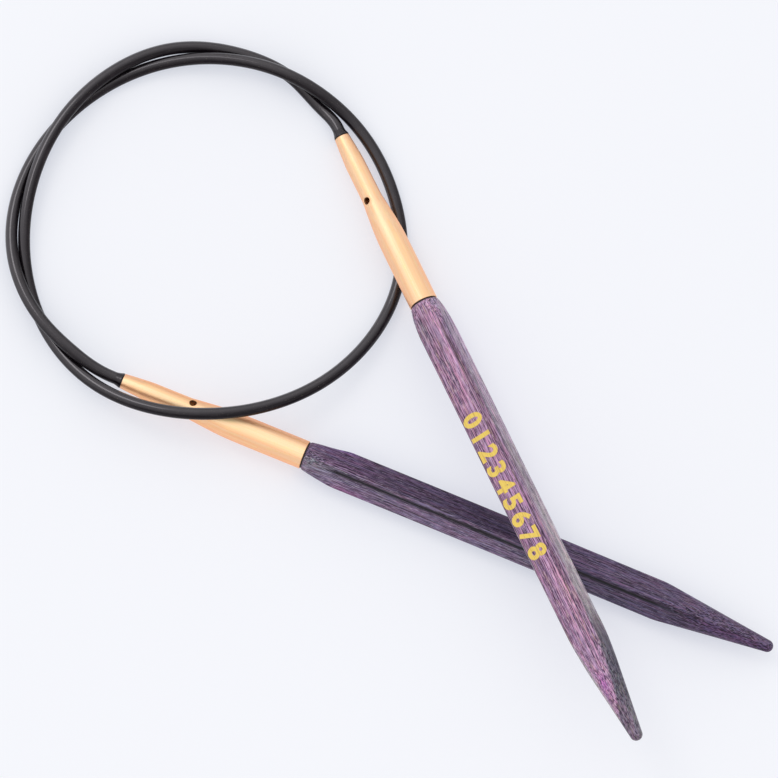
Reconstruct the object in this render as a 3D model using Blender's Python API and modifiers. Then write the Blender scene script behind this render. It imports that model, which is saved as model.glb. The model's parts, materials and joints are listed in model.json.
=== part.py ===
"""Circular knitting needle, lying coiled as it comes out of its packet.

Two square laminated-wood tips sit in swaged metal ferrules. Each ferrule turns on a
swivel stud at the end of one nylon-sheathed wire cable. Close behind each swivel the
cable bends at one flex hinge, where its sheath and core are parted, so that the needle
can be lifted or swung on its flexible end.
"""

import math

import bmesh
import bpy
import numpy as np
from mathutils import Matrix, Vector

# Driving dimensions, all in millimetres and degrees; MM turns them into metres.
MM = 0.001
RUN = 0.05  # running clearance of the swivel
FIT = 0.02  # clearance of a glued or pressed fit

# The frame's origin is under the middle of the whole object.
LOOP_CENTRE = (-30.975, 29.375, 0.012)

# Each needle: middle of its ferrule's mouth from the loop's centre, heading in plan,
# upward pitch, roll of the flat face next above the axis, and roll of the vent hole.
NEEDLES = {
    "1": dict(mouth=(23.26, 14.54, 1.92), heading=-65.04, pitch=6.34, roll=25.5, vent=42.0),
    "2": dict(mouth=(-12.66, -26.88, 3.42), heading=-22.65, pitch=0.0, roll=-33.0, vent=-26.0),
}

# Wood tip, measured along its axis from the ferrule's mouth.
NEEDLE_LENGTH = 115.45
ACROSS_FLATS = 5.0
EDGE_RADIUS = 0.28
SEAM = 32.15  # where the wood's round shoulder meets the glue line
SHOULDER_RADIUS = 2.28
SHOULDER_END = 37.2
POINT_START = 95.5
POINT_RADIUS = 0.82
TENON_RADIUS = 1.68
TENON_START = 16.4

# Ferrule
FERRULE_LENGTH = 32.0
FERRULE_RADIUS = 2.30
MOUTH_RADIUS = 1.27
NECK_RADIUS = 1.74
NECK_BORE = 1.0
SOCKET_RADIUS = 1.86
SOCKET_START = 16.0
VENT_POSITION = 12.2
VENT_RADIUS = 0.45

# Swivel, inside the ferrule's neck
BUSH_START = 0.3
BUSH_END = 4.5
SHANK_RADIUS = 0.52
HEAD_RADIUS = 0.85
HEAD_THICKNESS = 1.1
WASHER_THICKNESS = 0.2
BARREL_RADIUS = 0.75
COLLAR_LENGTH = 1.2

# Cable
CABLE_RADIUS = 1.0
BORE_RADIUS = 0.5
CORE_RADIUS = 0.4
FLEX_STATION = 2.4  # distance of the flex hinge behind the mouth; straight up to there
RIM_RECESS = 0.28  # set-back of the sheath's rim at the hinge: room to tilt by 30 degrees
BORE_RECESS = 0.15  # and of its bore and the core
CABLE_STEPS = 84

# The cable's centre line turns about the loop's centre, from one flex hinge to the other:
# angle in degrees, radius, and height. It rests at 1 and rises by about 2 wherever one
# turn crosses the other, and to 7 where it crosses the second ferrule.
CABLE_WAYPOINTS = (
    (45, 27.88, 1.06),
    (57, 28.75, 1.2),  # under the second turn
    (75, 29.45, 1.4),
    (100, 29.85, 2.2),
    (122, 29.15, 2.9),
    (142, 28.55, 3.15),  # over the second turn
    (165, 28.40, 2.65),
    (188, 29.20, 1.8),
    (210, 30.60, 1.08),  # under the second turn
    (240, 32.58, 4.30),
    (272, 33.25, 7.05),  # over ferrule 2
    (308, 33.90, 4.15),
    (345, 33.85, 1.05),  # under ferrule 1
    (372, 31.85, 1.15),
    (395, 30.35, 1.38),
    (417, 28.65, 3.95),  # over the first turn
    (435, 27.95, 3.55),
    (460, 27.70, 2.0),
    (482, 27.95, 1.15),
    (502, 28.65, 1.05),  # under the first turn
    (525, 30.05, 1.25),
    (548, 31.20, 2.35),
    (570, 31.00, 3.65),  # over the first turn
    (587, 30.30, 4.0),
)
END_SPEED = 29.0  # the curve's length per radian of turn at its two ends

ROUND = 24
SMALL_ROUND = 16
CORE_ROUND = 12
NO_GAP = 1e-6  # merge distance in metres

# material: colour, metallic, roughness
MATERIALS = {
    "purple_wood": ((0.115, 0.055, 0.105), 0.0, 0.45),
    "rose_gold": ((0.90, 0.56, 0.36), 1.0, 0.32),
    "black_nylon": ((0.018, 0.018, 0.020), 0.0, 0.30),
    "steel": ((0.60, 0.60, 0.62), 1.0, 0.30),
    "brass": ((0.72, 0.52, 0.24), 1.0, 0.30),
    "dark_glue": ((0.012, 0.010, 0.010), 0.0, 0.50),
}


# Scene, materials and placing


def clear_scene():
    for obj in list(bpy.data.objects):
        bpy.data.objects.remove(obj)


def make_materials():
    made = {}
    for name, (colour, metallic, roughness) in MATERIALS.items():
        material = bpy.data.materials.new(name)
        material.use_nodes = True
        shader = material.node_tree.nodes["Principled BSDF"]
        shader.inputs["Base Color"].default_value = (*colour, 1.0)
        shader.inputs["Metallic"].default_value = metallic
        shader.inputs["Roughness"].default_value = roughness
        material.diffuse_color = (*colour, 1.0)
        made[name] = material
    return made


def make_collection(name):
    collection = bpy.data.collections.new(name)
    bpy.context.scene.collection.children.link(collection)
    return collection


def evaluated_mesh(obj, name):
    """The object's mesh with its modifiers applied; the object itself is removed."""
    bpy.context.view_layer.update()
    graph = bpy.context.evaluated_depsgraph_get()
    mesh = bpy.data.meshes.new_from_object(obj.evaluated_get(graph))
    mesh.name = name
    bpy.data.objects.remove(obj)
    mesh.shade_smooth()
    mesh.set_sharp_from_angle(angle=math.radians(35))
    return mesh


def place(name, data, material, parent, height=0.0, turn=0.0):
    """A piece in its parent's frame, moved along and turned about the parent's own axis."""
    data.materials.clear()
    data.materials.append(material)
    obj = bpy.data.objects.new(name, data)
    parts.objects.link(obj)
    obj.parent = parent
    obj.location = (0.0, 0.0, height * MM)
    obj.rotation_euler = (0.0, 0.0, turn)
    return obj


def pivot(name, matrix, parent=None):
    """An empty on a joint's axis, with +Z along the piece that it carries."""
    empty = bpy.data.objects.new(name, None)
    empty.empty_display_size = 2 * MM
    parts.objects.link(empty)
    if parent is None:
        empty.matrix_world = matrix
        return empty
    empty.parent = parent
    empty.matrix_basis = frames[parent.name].inverted() @ matrix
    return empty


def frame_along(origin, direction):
    """A frame with +Z along direction and +X the upward way square to it."""
    z = Vector(direction).normalized()
    y = z.cross(Vector((0.0, 0.0, 1.0))).normalized()
    x = y.cross(z)
    matrix = Matrix((x, y, z)).transposed().to_4x4()
    matrix.translation = Vector(origin) * MM
    return matrix


# Shapes


def turned_mesh(name, outline, steps, closed=True):
    """A turned piece from (radius, height) points, down the outer side first."""
    mesh = bpy.data.meshes.new(name)
    points = [(radius * MM, 0.0, height * MM) for radius, height in outline]
    edges = [(i, i + 1) for i in range(len(points) - 1)]
    if closed:
        edges.append((len(points) - 1, 0))
    mesh.from_pydata(points, edges, [])
    obj = bpy.data.objects.new(name, mesh)
    parts.objects.link(obj)
    turn = obj.modifiers.new("Turn", "SCREW")
    turn.steps = steps
    turn.render_steps = steps
    turn.use_merge_vertices = True
    turn.merge_threshold = NO_GAP
    return evaluated_mesh(obj, name)


def ring_outline(inner, outer, low, high):
    return [(outer, high), (outer, low), (inner, low), (inner, high)]


def square_radius(angle):
    """Distance from the axis to the rounded square's outline, at an angle from a flat."""
    half = ACROSS_FLATS / 2
    folded = abs((angle + math.pi / 4) % (math.pi / 2) - math.pi / 4)
    centre = half - EDGE_RADIUS
    if half * math.tan(folded) <= centre:
        return half / math.cos(folded)
    # the ray meets the edge's arc, whose centre is on the diagonal
    reach = centre * math.sqrt(2)
    off = math.pi / 4 - folded
    return reach * math.cos(off) + math.sqrt(EDGE_RADIUS**2 - (reach * math.sin(off)) ** 2)


def shoulder_radius(height):
    """Turned shoulder: it leaves the ferrule's line and swells past the square's edges."""
    t = (height - SEAM) / (SHOULDER_END - SEAM)
    swell = ACROSS_FLATS / 2 * math.sqrt(2) - SHOULDER_RADIUS
    return SHOULDER_RADIUS + swell * math.sin(min(t, 1.0) * math.pi / 2)


def point_radius(height):
    """Turned cone of the point, ending in a round nose."""
    nose = NEEDLE_LENGTH - POINT_RADIUS
    start = ACROSS_FLATS / 2 * math.sqrt(2)
    if height > nose:
        return math.sqrt(max(POINT_RADIUS**2 - (height - nose) ** 2, 0.0))
    t = (height - POINT_START) / (nose - POINT_START)
    return start + (POINT_RADIUS - start) * t


def wood_mesh(name):
    """A loft from the round tenon to the square shaft and on to the round point."""
    quarter = [0.0, 15.0, 30.0, 40.5, 45.0, 49.5, 60.0, 75.0]
    angles = [math.radians(a + 90.0 * side) for side in range(4) for a in quarter]
    rings = [(TENON_START, lambda a: TENON_RADIUS), (SEAM, lambda a: TENON_RADIUS)]
    for i in range(7):
        height = SEAM + (SHOULDER_END - SEAM) * i / 6
        rings.append((height, lambda a, r=shoulder_radius(height): min(r, square_radius(a))))
    for i in range(9):
        height = POINT_START + (NEEDLE_LENGTH - POINT_RADIUS - POINT_START) * i / 8
        rings.append((height, lambda a, r=point_radius(height): min(r, square_radius(a))))
    for part in (0.5, 0.85):
        height = NEEDLE_LENGTH - POINT_RADIUS + POINT_RADIUS * part
        rings.append((height, lambda a, r=point_radius(height): r))

    shape = bmesh.new()
    rows = []
    for height, radius in rings:
        row = [(radius(a) * math.cos(a), radius(a) * math.sin(a), height) for a in angles]
        rows.append([shape.verts.new(Vector(p) * MM) for p in row])
    for low, high in zip(rows, rows[1:]):
        for i in range(len(angles)):
            j = (i + 1) % len(angles)
            shape.faces.new((low[i], low[j], high[j], high[i]))
    shape.faces.new(rows[0][::-1])
    nose = shape.verts.new((0.0, 0.0, NEEDLE_LENGTH * MM))
    for i in range(len(angles)):
        shape.faces.new((rows[-1][i], rows[-1][(i + 1) % len(angles)], nose))
    mesh = bpy.data.meshes.new(name)
    shape.to_mesh(mesh)
    shape.free()
    mesh.shade_smooth()
    mesh.set_sharp_from_angle(angle=math.radians(20))
    return mesh


def ferrule_mesh(name):
    """Swaged tube: narrow mouth, straight neck, cone and full-width socket, one vent."""
    tail = FERRULE_LENGTH
    outline = [
        (FERRULE_RADIUS - 0.08, tail),
        (FERRULE_RADIUS, tail - 0.15),
        (FERRULE_RADIUS, 17.6),
        (FERRULE_RADIUS - 0.10, 15.6),
        (FERRULE_RADIUS - 0.30, 13.6),
        (NECK_RADIUS + 0.08, 11.8),
        (NECK_RADIUS, 9.0),
        (NECK_RADIUS - 0.06, 5.5),
        (MOUTH_RADIUS + 0.20, 2.4),
        (MOUTH_RADIUS, 0.12),
        (MOUTH_RADIUS - 0.06, 0.0),
        (NECK_BORE, 0.0),
        (NECK_BORE, 10.0),
        (NECK_BORE + 0.35, 13.0),
        (NECK_BORE + 0.35, SOCKET_START),
        (SOCKET_RADIUS, SOCKET_START),
        (SOCKET_RADIUS, tail),
    ]
    mesh = turned_mesh(name + "_tube", outline, ROUND)
    tube = bpy.data.objects.new(name, mesh)
    parts.objects.link(tube)

    drill = bmesh.new()
    bmesh.ops.create_cone(
        drill,
        cap_ends=True,
        segments=SMALL_ROUND,
        radius1=VENT_RADIUS * MM,
        radius2=VENT_RADIUS * MM,
        depth=FERRULE_RADIUS * MM,
    )
    drill_mesh = bpy.data.meshes.new(name + "_drill")
    drill.to_mesh(drill_mesh)
    drill.free()
    cutter = bpy.data.objects.new(name + "_drill", drill_mesh)
    cutters.objects.link(cutter)
    cutter.hide_render = True
    cutter.display_type = "WIRE"
    cutter.location = (FERRULE_RADIUS * MM, 0.0, VENT_POSITION * MM)
    cutter.rotation_euler = (0.0, math.pi / 2, 0.0)

    vent = tube.modifiers.new("Vent", "BOOLEAN")
    vent.operation = "DIFFERENCE"
    vent.object = cutter
    finished = evaluated_mesh(tube, name)
    bpy.data.objects.remove(cutter)
    return finished


def stud_mesh(name):
    """Swivel stud: crimp barrel with a blind hole, shank, and head behind the bush."""
    head = BUSH_END + 2 * RUN + WASHER_THICKNESS + RUN
    top = head + HEAD_THICKNESS
    outline = [
        (0.0, top),
        (HEAD_RADIUS - 0.15, top),
        (HEAD_RADIUS, top - 0.15),
        (HEAD_RADIUS, head),
        (SHANK_RADIUS, head),
        (SHANK_RADIUS, 0.15),
        (BARREL_RADIUS, 0.0),
        (BARREL_RADIUS, -COLLAR_LENGTH),
        (CORE_RADIUS + RUN, -COLLAR_LENGTH),
        (CORE_RADIUS + RUN, -0.1),
        (0.0, -0.1),
    ]
    return turned_mesh(name, outline, SMALL_ROUND, closed=False)


def collar_mesh(name):
    """Moulded collar: it swells from the cable's width to the ferrule's mouth."""
    inner = BARREL_RADIUS + FIT
    outline = [
        (MOUTH_RADIUS - 0.05, -RUN),
        (MOUTH_RADIUS + 0.01, -0.14),
        (MOUTH_RADIUS - 0.06, -0.45),
        (CABLE_RADIUS + 0.07, -0.85),
        (CABLE_RADIUS + 0.01, -COLLAR_LENGTH),
        (inner, -COLLAR_LENGTH),
        (inner, -RUN),
    ]
    return turned_mesh(name, outline, ROUND)


def glue_mesh(name):
    """Glue: a sleeve round the tenon, and the thin ring that shows at the seam."""
    inner = TENON_RADIUS + 2 * FIT
    outer = SOCKET_RADIUS - 2 * FIT
    seam = FERRULE_LENGTH + FIT
    outline = [
        (FERRULE_RADIUS - 0.06, SEAM - FIT),
        (FERRULE_RADIUS - 0.06, seam),
        (outer, seam),
        (outer, SOCKET_START + 0.5),
        (inner, SOCKET_START + 0.5),
        (inner, SEAM - FIT),
    ]
    return turned_mesh(name, outline, ROUND)


# Cable path


def clamped_spline(knots, points, first_slope, last_slope):
    """Slopes at the knots of the smooth cubic through points, for hermite()."""
    count = len(knots)
    step = np.diff(knots)
    system = np.zeros((count, count))
    wanted = np.zeros((count, 3))
    system[0, 0] = 1.0
    system[-1, -1] = 1.0
    wanted[0] = first_slope
    wanted[-1] = last_slope
    for i in range(1, count - 1):
        before, after = step[i - 1], step[i]
        system[i, i - 1] = 1 / before
        system[i, i] = 2 / before + 2 / after
        system[i, i + 1] = 1 / after
        rise_in = (points[i] - points[i - 1]) / before**2
        rise_out = (points[i + 1] - points[i]) / after**2
        wanted[i] = 3 * (rise_in + rise_out)
    return np.linalg.solve(system, wanted)


def hermite(knots, points, slopes, at):
    i = np.clip(np.searchsorted(knots, at, side="right") - 1, 0, len(knots) - 2)
    step = (knots[i + 1] - knots[i])[:, None]
    u = (at - knots[i])[:, None] / step
    return (
        (2 * u**3 - 3 * u**2 + 1) * points[i]
        + (u**3 - 2 * u**2 + u) * step * slopes[i]
        + (3 * u**2 - 2 * u**3) * points[i + 1]
        + (u**3 - u**2) * step * slopes[i + 1]
    )


def needle_direction(spec):
    heading, pitch = math.radians(spec["heading"]), math.radians(spec["pitch"])
    flat = math.cos(pitch)
    return np.array([flat * math.cos(heading), flat * math.sin(heading), math.sin(pitch)])


def mouth_point(spec):
    return np.array(spec["mouth"]) + np.array(LOOP_CENTRE)


def flex_point(spec):
    """Centre of the flex hinge, straight behind the ferrule's mouth."""
    return mouth_point(spec) - FLEX_STATION * needle_direction(spec)


def cable_path():
    """Dense centre line from hinge 1 to hinge 2, with the distance run at each point."""
    centre = np.array(LOOP_CENTRE)
    first, last = (flex_point(NEEDLES[key]) - centre for key in ("1", "2"))
    turns = [math.degrees(math.atan2(first[1], first[0]))]
    turns += [angle for angle, _, _ in CABLE_WAYPOINTS]
    turns.append(math.degrees(math.atan2(last[1], last[0])) + 720.0)
    middle = [
        (r * math.cos(math.radians(a)), r * math.sin(math.radians(a)), z)
        for a, r, z in CABLE_WAYPOINTS
    ]
    knots = np.radians(turns)
    points = np.array([first, *middle, last])
    slopes = clamped_spline(
        knots,
        points,
        -END_SPEED * needle_direction(NEEDLES["1"]),
        END_SPEED * needle_direction(NEEDLES["2"]),
    )
    dense = hermite(knots, points, slopes, np.linspace(knots[0], knots[-1], 4000)) + centre
    run = np.concatenate([[0.0], np.cumsum(np.linalg.norm(np.diff(dense, axis=0), axis=1))])
    return dense, run


def point_on(path, distance):
    dense, run = path
    return np.array([np.interp(distance, run, dense[:, k]) for k in range(3)])


def wire(name, path, start, end, radius, resolution, caps):
    """A round bar along the path between two distances."""
    curve = bpy.data.curves.new(name, "CURVE")
    curve.dimensions = "3D"
    curve.bevel_depth = radius * MM
    curve.bevel_resolution = resolution
    curve.use_fill_caps = caps
    spline = curve.splines.new("POLY")
    spline.points.add(CABLE_STEPS)
    for point, distance in zip(spline.points, np.linspace(start, end, CABLE_STEPS + 1)):
        point.co = (*(point_on(path, distance) * MM), 1.0)
    return curve


def build_cable(path):
    """Main run of the cable between the two flex hinges."""
    length = path[1][-1]
    sheath = wire(
        "cable_sheath", path, RIM_RECESS, length - RIM_RECESS, CABLE_RADIUS, 2, False
    )
    obj = bpy.data.objects.new("cable_sheath", sheath)
    sheath.materials.append(materials["black_nylon"])
    parts.objects.link(obj)
    wall = obj.modifiers.new("Wall", "SOLIDIFY")
    wall.thickness = (CABLE_RADIUS - BORE_RADIUS) * MM
    wall.offset = -1.0
    core = wire("cable_core", path, BORE_RECESS, length - BORE_RECESS, CORE_RADIUS, 1, True)
    core.materials.append(materials["steel"])
    parts.objects.link(bpy.data.objects.new("cable_core", core))


# Assembly


def needle_meshes():
    """The pieces that turn with the needle: name, mesh and material."""
    bush = ring_outline(SHANK_RADIUS + RUN, NECK_BORE - FIT, BUSH_START, BUSH_END)
    return [
        ("needle_tip", wood_mesh("needle_tip"), "purple_wood"),
        ("ferrule", ferrule_mesh("ferrule"), "rose_gold"),
        ("glue_joint", glue_mesh("glue_joint"), "dark_glue"),
        ("swivel_bush", turned_mesh("swivel_bush", bush, SMALL_ROUND), "brass"),
    ]


def end_meshes():
    """The pieces on the cable's end: name, mesh, material and height above the hinge."""
    length = FLEX_STATION - COLLAR_LENGTH - FIT
    sheath = [
        (BORE_RADIUS, length),
        (CABLE_RADIUS, length),
        (CABLE_RADIUS, RIM_RECESS),
        (BORE_RADIUS, BORE_RECESS),
    ]
    top = FLEX_STATION - 0.1 - RUN
    core = [(0.0, top), (CORE_RADIUS, top), (CORE_RADIUS, BORE_RECESS), (0.0, BORE_RECESS)]
    seat = BUSH_END + 2 * RUN
    washer = ring_outline(SHANK_RADIUS + RUN, HEAD_RADIUS, seat, seat + WASHER_THICKNESS)
    core_mesh = turned_mesh("core_end", core, CORE_ROUND, closed=False)
    washer_mesh = turned_mesh("thrust_washer", washer, SMALL_ROUND)
    return [
        ("sheath_end", turned_mesh("sheath_end", sheath, ROUND), "black_nylon", 0.0),
        ("core_end", core_mesh, "steel", 0.0),
        ("swivel_stud", stud_mesh("swivel_stud"), "steel", FLEX_STATION),
        ("swivel_collar", collar_mesh("swivel_collar"), "black_nylon", FLEX_STATION),
        ("thrust_washer", washer_mesh, "steel", FLEX_STATION),
    ]


def add_pivot(name, origin, direction, parent=None):
    frames[name] = frame_along(origin, direction)
    return pivot(name, frames[name], parent)


def build_end(key, spec, end_pieces, needle_pieces):
    """One end: the cable's end on its flex hinge, and the needle on its swivel."""
    direction = needle_direction(spec)
    hinge = add_pivot(f"flex_{key}", flex_point(spec), direction)
    swivel = add_pivot(f"swivel_{key}", mouth_point(spec), direction, hinge)
    for piece, mesh, slot, height in end_pieces:
        place(f"{piece}_{key}", mesh, materials[slot], hinge, height)
    turns = {"needle_tip": spec["roll"], "ferrule": spec["vent"]}
    for piece, mesh, slot in needle_pieces:
        turn = math.radians(turns.get(piece, 0.0))
        place(f"{piece}_{key}", mesh, materials[slot], swivel, turn=turn)


clear_scene()
parts = make_collection("circular_knitting_needle")
cutters = make_collection("cutters")
materials = make_materials()
frames = {}
build_cable(cable_path())
shared_ends = end_meshes()
shared_needles = needle_meshes()
for end_key, end_spec in NEEDLES.items():
    build_end(end_key, end_spec, shared_ends, shared_needles)
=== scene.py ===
"""Looks of a circular knitting needle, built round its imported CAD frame.

The cable, collars, ferrules, glue lines and wood tips are fine meshes with procedural
materials. Lengths are in millimetres, and MM turns them into the frame's metres.
Each needle has its own frame: origin in the middle of the ferrule's mouth, +Z towards
the point, +X out of the shaft face that carries the CAD mount.
"""

import json
import math

import bmesh
import bpy
import numpy as np
from mathutils import Matrix, Vector


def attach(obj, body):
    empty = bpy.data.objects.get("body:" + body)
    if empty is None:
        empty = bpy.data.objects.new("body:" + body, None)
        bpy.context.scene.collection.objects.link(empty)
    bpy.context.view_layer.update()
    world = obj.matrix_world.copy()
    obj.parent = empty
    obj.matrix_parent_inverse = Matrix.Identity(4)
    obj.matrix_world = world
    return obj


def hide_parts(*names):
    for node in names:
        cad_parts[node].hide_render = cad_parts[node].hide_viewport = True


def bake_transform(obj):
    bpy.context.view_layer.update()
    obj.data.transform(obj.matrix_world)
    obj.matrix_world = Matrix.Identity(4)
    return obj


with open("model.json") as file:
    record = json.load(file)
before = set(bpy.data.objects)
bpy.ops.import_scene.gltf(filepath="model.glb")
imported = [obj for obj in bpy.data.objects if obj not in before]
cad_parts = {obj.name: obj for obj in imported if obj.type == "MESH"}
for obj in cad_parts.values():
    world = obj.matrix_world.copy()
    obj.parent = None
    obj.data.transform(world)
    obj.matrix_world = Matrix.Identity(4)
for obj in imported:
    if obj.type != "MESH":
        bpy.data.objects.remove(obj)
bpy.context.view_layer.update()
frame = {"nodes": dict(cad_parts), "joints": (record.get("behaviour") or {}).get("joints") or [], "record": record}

MM = 0.001
JOINTS = {joint["name"]: joint for joint in frame["joints"]}
MOUNTS = {mount["name"]: mount for mount in frame["record"]["mounts"]}
FLEX_JOINTS = {"1": "lift_1", "2": "swing_2"}

# Wood tip, along the needle's axis from the mouth
NEEDLE_LENGTH = 115.45
HALF_ACROSS = 2.5
EDGE_RADIUS = 0.60
FLAT_BLEND = 0.10  # rounds over where the flats meet the turned ends
SEAMS = {"1": 32.18, "2": 32.55}
SHOULDER_RADIUS = 2.38
SHOULDER_LENGTH = 9.5
SHOULDER_POWER = 1.75
SHOULDER_LIP = 0.12
POINT_START = 93.4
POINT_RADIUS = 1.02
TENON_RADIUS = 1.68
TENON_START = 16.4
CORNER = HALF_ACROSS * math.sqrt(2)

LEAN_MIDDLE = 4.2  # above the seam, where a leaning shoulder is cut back most
LEAN_REACH = 2.8
WEAR_WAVES = 4  # faint waves of wear along and round the wood
WEAR_DEPTH = 0.004
WEAR_END = (108.0, 114.0)  # the wear fades out between these heights

# Ferrule: (height, radius) of its outer side, then its eased ends and its bore
FERRULE_SIDE = (
    (0.1, 1.27),
    (2.4, 1.47),
    (5.5, 1.66),
    (9.0, 1.67),
    (11.5, 1.69),
    (13.2, 1.85),
    (15.0, 2.03),
    (17.2, 2.23),
    (19.8, 2.36),
    (24.0, 2.385),
)
ROUND_STEPS = 128  # points round the ferrule and the glue
FERRULE_PITCH = 0.16
MOUTH_RIM = 0.1
TAIL_RIM = 0.12
BORE_START = 0.08
NECK_BORE = 1.0
NECK_END = 10.0
FUNNEL_END = 13.0
FUNNEL_BORE = NECK_BORE + 0.35
SOCKET_START = 16.0
SOCKET_RADIUS = 1.86
VENT_POSITION = 12.2
VENT_RADIUS = 0.62
DRILL_DEPTH = 2.4
DRILL_REACH = 2.2  # from the needle's axis to the middle of the drill
DIMPLE_RADIUS = 1.05
DIMPLE_DEPTH = 0.07
NEAR_WALL = 1.5  # only points this far out on the vent's side are dimpled

# Glue: a sleeve round the tenon, and the radii of its bead at the seam
GLUE_WIDTH = 0.23
GLUE_GAP = 0.04
BEAD_FOOT = 2.10
BEAD_SIDE = 2.22
BEAD_TOP = 2.24
BEAD_EASE = 0.04
GLUE_INSET = 0.01

# Collar and cable
COLLAR_SIDE = ((-1.2, 1.01), (-0.85, 1.08), (-0.45, 1.21), (-0.16, 1.27), (-0.06, 1.22))
COLLAR_BORE = 0.77
COLLAR_STEPS = 96
COLLAR_PITCH = 0.03
CABLE_RADIUS = 1.0
CABLE_BORE = 0.55
RING_SPAN = 0.85  # two points of one core ring are never further apart than this
RING_STEP = 3.5  # the next core ring is looked for this far on
FIRST_STEP = 0.2  # the first core ring is looked for this far on from hinge 1
HINGE_CLEAR = 0.5  # rings nearer to a hinge than this are left out
BEND_START = 6.0  # the cable's bend runs between these distances behind the mouth
BEND_END = 1.22
COIL_PITCH = 0.5
BEND_PITCH = 0.15

# Print: a row of numbers along needle 1
PRINT_COUNT = 9
PRINT_HEIGHT = 3.3
PRINT_START = 54.5
PRINT_PITCH = 3.13
PRINT_BASE = 2.0
FIGURE_SHARE = 0.73  # height of a figure over the size of its font
INK_DEPTH = 0.012
INK_SUNK = 0.005

# Camera and light
# painted sheen: the nylon is made more reflective on its side that faces this way
PAINTED_SHEEN_TOWARDS = (-0.46, 0.54, 0.70)
CAMERA_ELEVATION = 77.0
CAMERA_LENS = 1200.0
CAMERA_SENSOR = 36.0
VIEW_WIDTH = 127.6
AIM = Vector((0.0, 1.94, 0.0)) * MM
WALL_LEVEL = 0.94
WALL_DROP = 0.42
ROOF_LEVEL = 0.97
ROOF_RISE = (0.05, 0.65)
BACKDROP_LEVEL = 0.93
TENT_COLOUR = (0.985, 0.99, 1.0)
FLOOR_REACH = 20.0  # in metres
FLOOR_COLOUR = (0.921, 0.930, 0.973)
FLOOR_SCATTER = (0.485, 0.465, 0.430)


# Frame


def needle_frame(key):
    joint = JOINTS[f"swivel_{key}"]
    z = Vector(joint["axis"]).normalized()
    x = Vector(MOUNTS[f"shaft_{key}_flat"]["axis"])
    x = (x - z * x.dot(z)).normalized()
    matrix = Matrix((x, z.cross(x), z)).transposed().to_4x4()
    matrix.translation = Vector(joint["pos_m"])
    return matrix


NEEDLE_FRAMES = {key: needle_frame(key) for key in FLEX_JOINTS}


def vent_angle(key):
    """Angle of the vent hole round the needle's axis, from the CAD ferrule's own hole."""
    to_local = NEEDLE_FRAMES[key].inverted()
    centre = Vector()
    for vertex in frame["nodes"][f"ferrule_{key}"].data.vertices:
        point = to_local @ vertex.co / MM
        if abs(point.z - VENT_POSITION) < 0.8 * VENT_RADIUS:
            centre += Vector((point.x, point.y, 0.0))
    return math.atan2(centre.y, centre.x)


# Curves through points


def spline_slopes(knots, points, first, last):
    """Slopes of the smooth cubic through points, with given slopes at its two ends."""
    count = len(knots)
    step = np.diff(knots)
    system = np.zeros((count, count))
    wanted = np.zeros(points.shape)
    system[0, 0] = system[-1, -1] = 1.0
    wanted[0], wanted[-1] = first, last
    for i in range(1, count - 1):
        before, after = step[i - 1], step[i]
        system[i, i - 1 : i + 2] = 1 / before, 2 / before + 2 / after, 1 / after
        rise_in = (points[i] - points[i - 1]) / before**2
        rise_out = (points[i + 1] - points[i]) / after**2
        wanted[i] = 3 * (rise_in + rise_out)
    return np.linalg.solve(system, wanted)


def flat_slopes(knots, values):
    """Slopes that never overshoot the values: each is the harmonic mean of its sides."""
    rise = np.diff(values) / np.diff(knots)
    slopes = np.zeros(len(values))
    slopes[0], slopes[-1] = rise[0], rise[-1]
    for i in range(1, len(values) - 1):
        if rise[i - 1] * rise[i] > 0:
            slopes[i] = 2 / (1 / rise[i - 1] + 1 / rise[i])
    return slopes


def hermite(knots, values, slopes, at):
    i = np.clip(np.searchsorted(knots, at, side="right") - 1, 0, len(knots) - 2)
    step = knots[i + 1] - knots[i]
    u = (at - knots[i]) / step
    if values.ndim > 1:
        step, u = step[:, None], u[:, None]
    return (
        (2 * u**3 - 3 * u**2 + 1) * values[i]
        + (u**3 - 2 * u**2 + u) * step * slopes[i]
        + (3 * u**2 - 2 * u**3) * values[i + 1]
        + (u**3 - u**2) * step * slopes[i + 1]
    )


def smooth_side(side, pitch):
    """(height, radius) rows at an even pitch on a smooth line through side's points."""
    knots, values = np.array(side, float).T
    heights = np.linspace(knots[0], knots[-1], int((knots[-1] - knots[0]) / pitch) + 2)
    return list(zip(heights, hermite(knots, values, flat_slopes(knots, values), heights)))


def smoothstep(low, high, value):
    t = np.clip((value - low) / (high - low), 0.0, 1.0)
    return t * t * (3 - 2 * t)


# Meshes


def grid_faces(rows, columns, closed_rows=False):
    """Quads of a grid whose columns run round; rows close on themselves if asked."""
    faces = []
    for i in range(rows if closed_rows else rows - 1):
        low, high = i * columns, (i + 1) % rows * columns
        for j in range(columns):
            k = (j + 1) % columns
            faces.append((low + j, low + k, high + k, high + j))
    return faces


def mesh_object(name, points, faces, matrix=None, sharp=40.0):
    """A smooth shaded object from points in millimetres, in the given frame."""
    mesh = bpy.data.meshes.new(name)
    mesh.from_pydata(np.asarray(points) * MM, [], faces)
    shape = bmesh.new()
    shape.from_mesh(mesh)
    bmesh.ops.recalc_face_normals(shape, faces=shape.faces)
    shape.to_mesh(mesh)
    shape.free()
    mesh.shade_smooth()
    mesh.set_sharp_from_angle(angle=math.radians(sharp))
    obj = bpy.data.objects.new(name, mesh)
    bpy.context.scene.collection.objects.link(obj)
    if matrix is not None:
        obj.matrix_world = matrix
    return obj


def turned_points(outline, steps):
    """Rings of points round the axis, one for each (height, radius) of the outline."""
    angles = np.arange(steps) * 2 * math.pi / steps
    heights, radii = np.array(outline, float).T
    x = radii[:, None] * np.cos(angles)
    y = radii[:, None] * np.sin(angles)
    z = np.repeat(heights[:, None], steps, axis=1)
    return np.stack([x, y, z], axis=-1)


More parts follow.
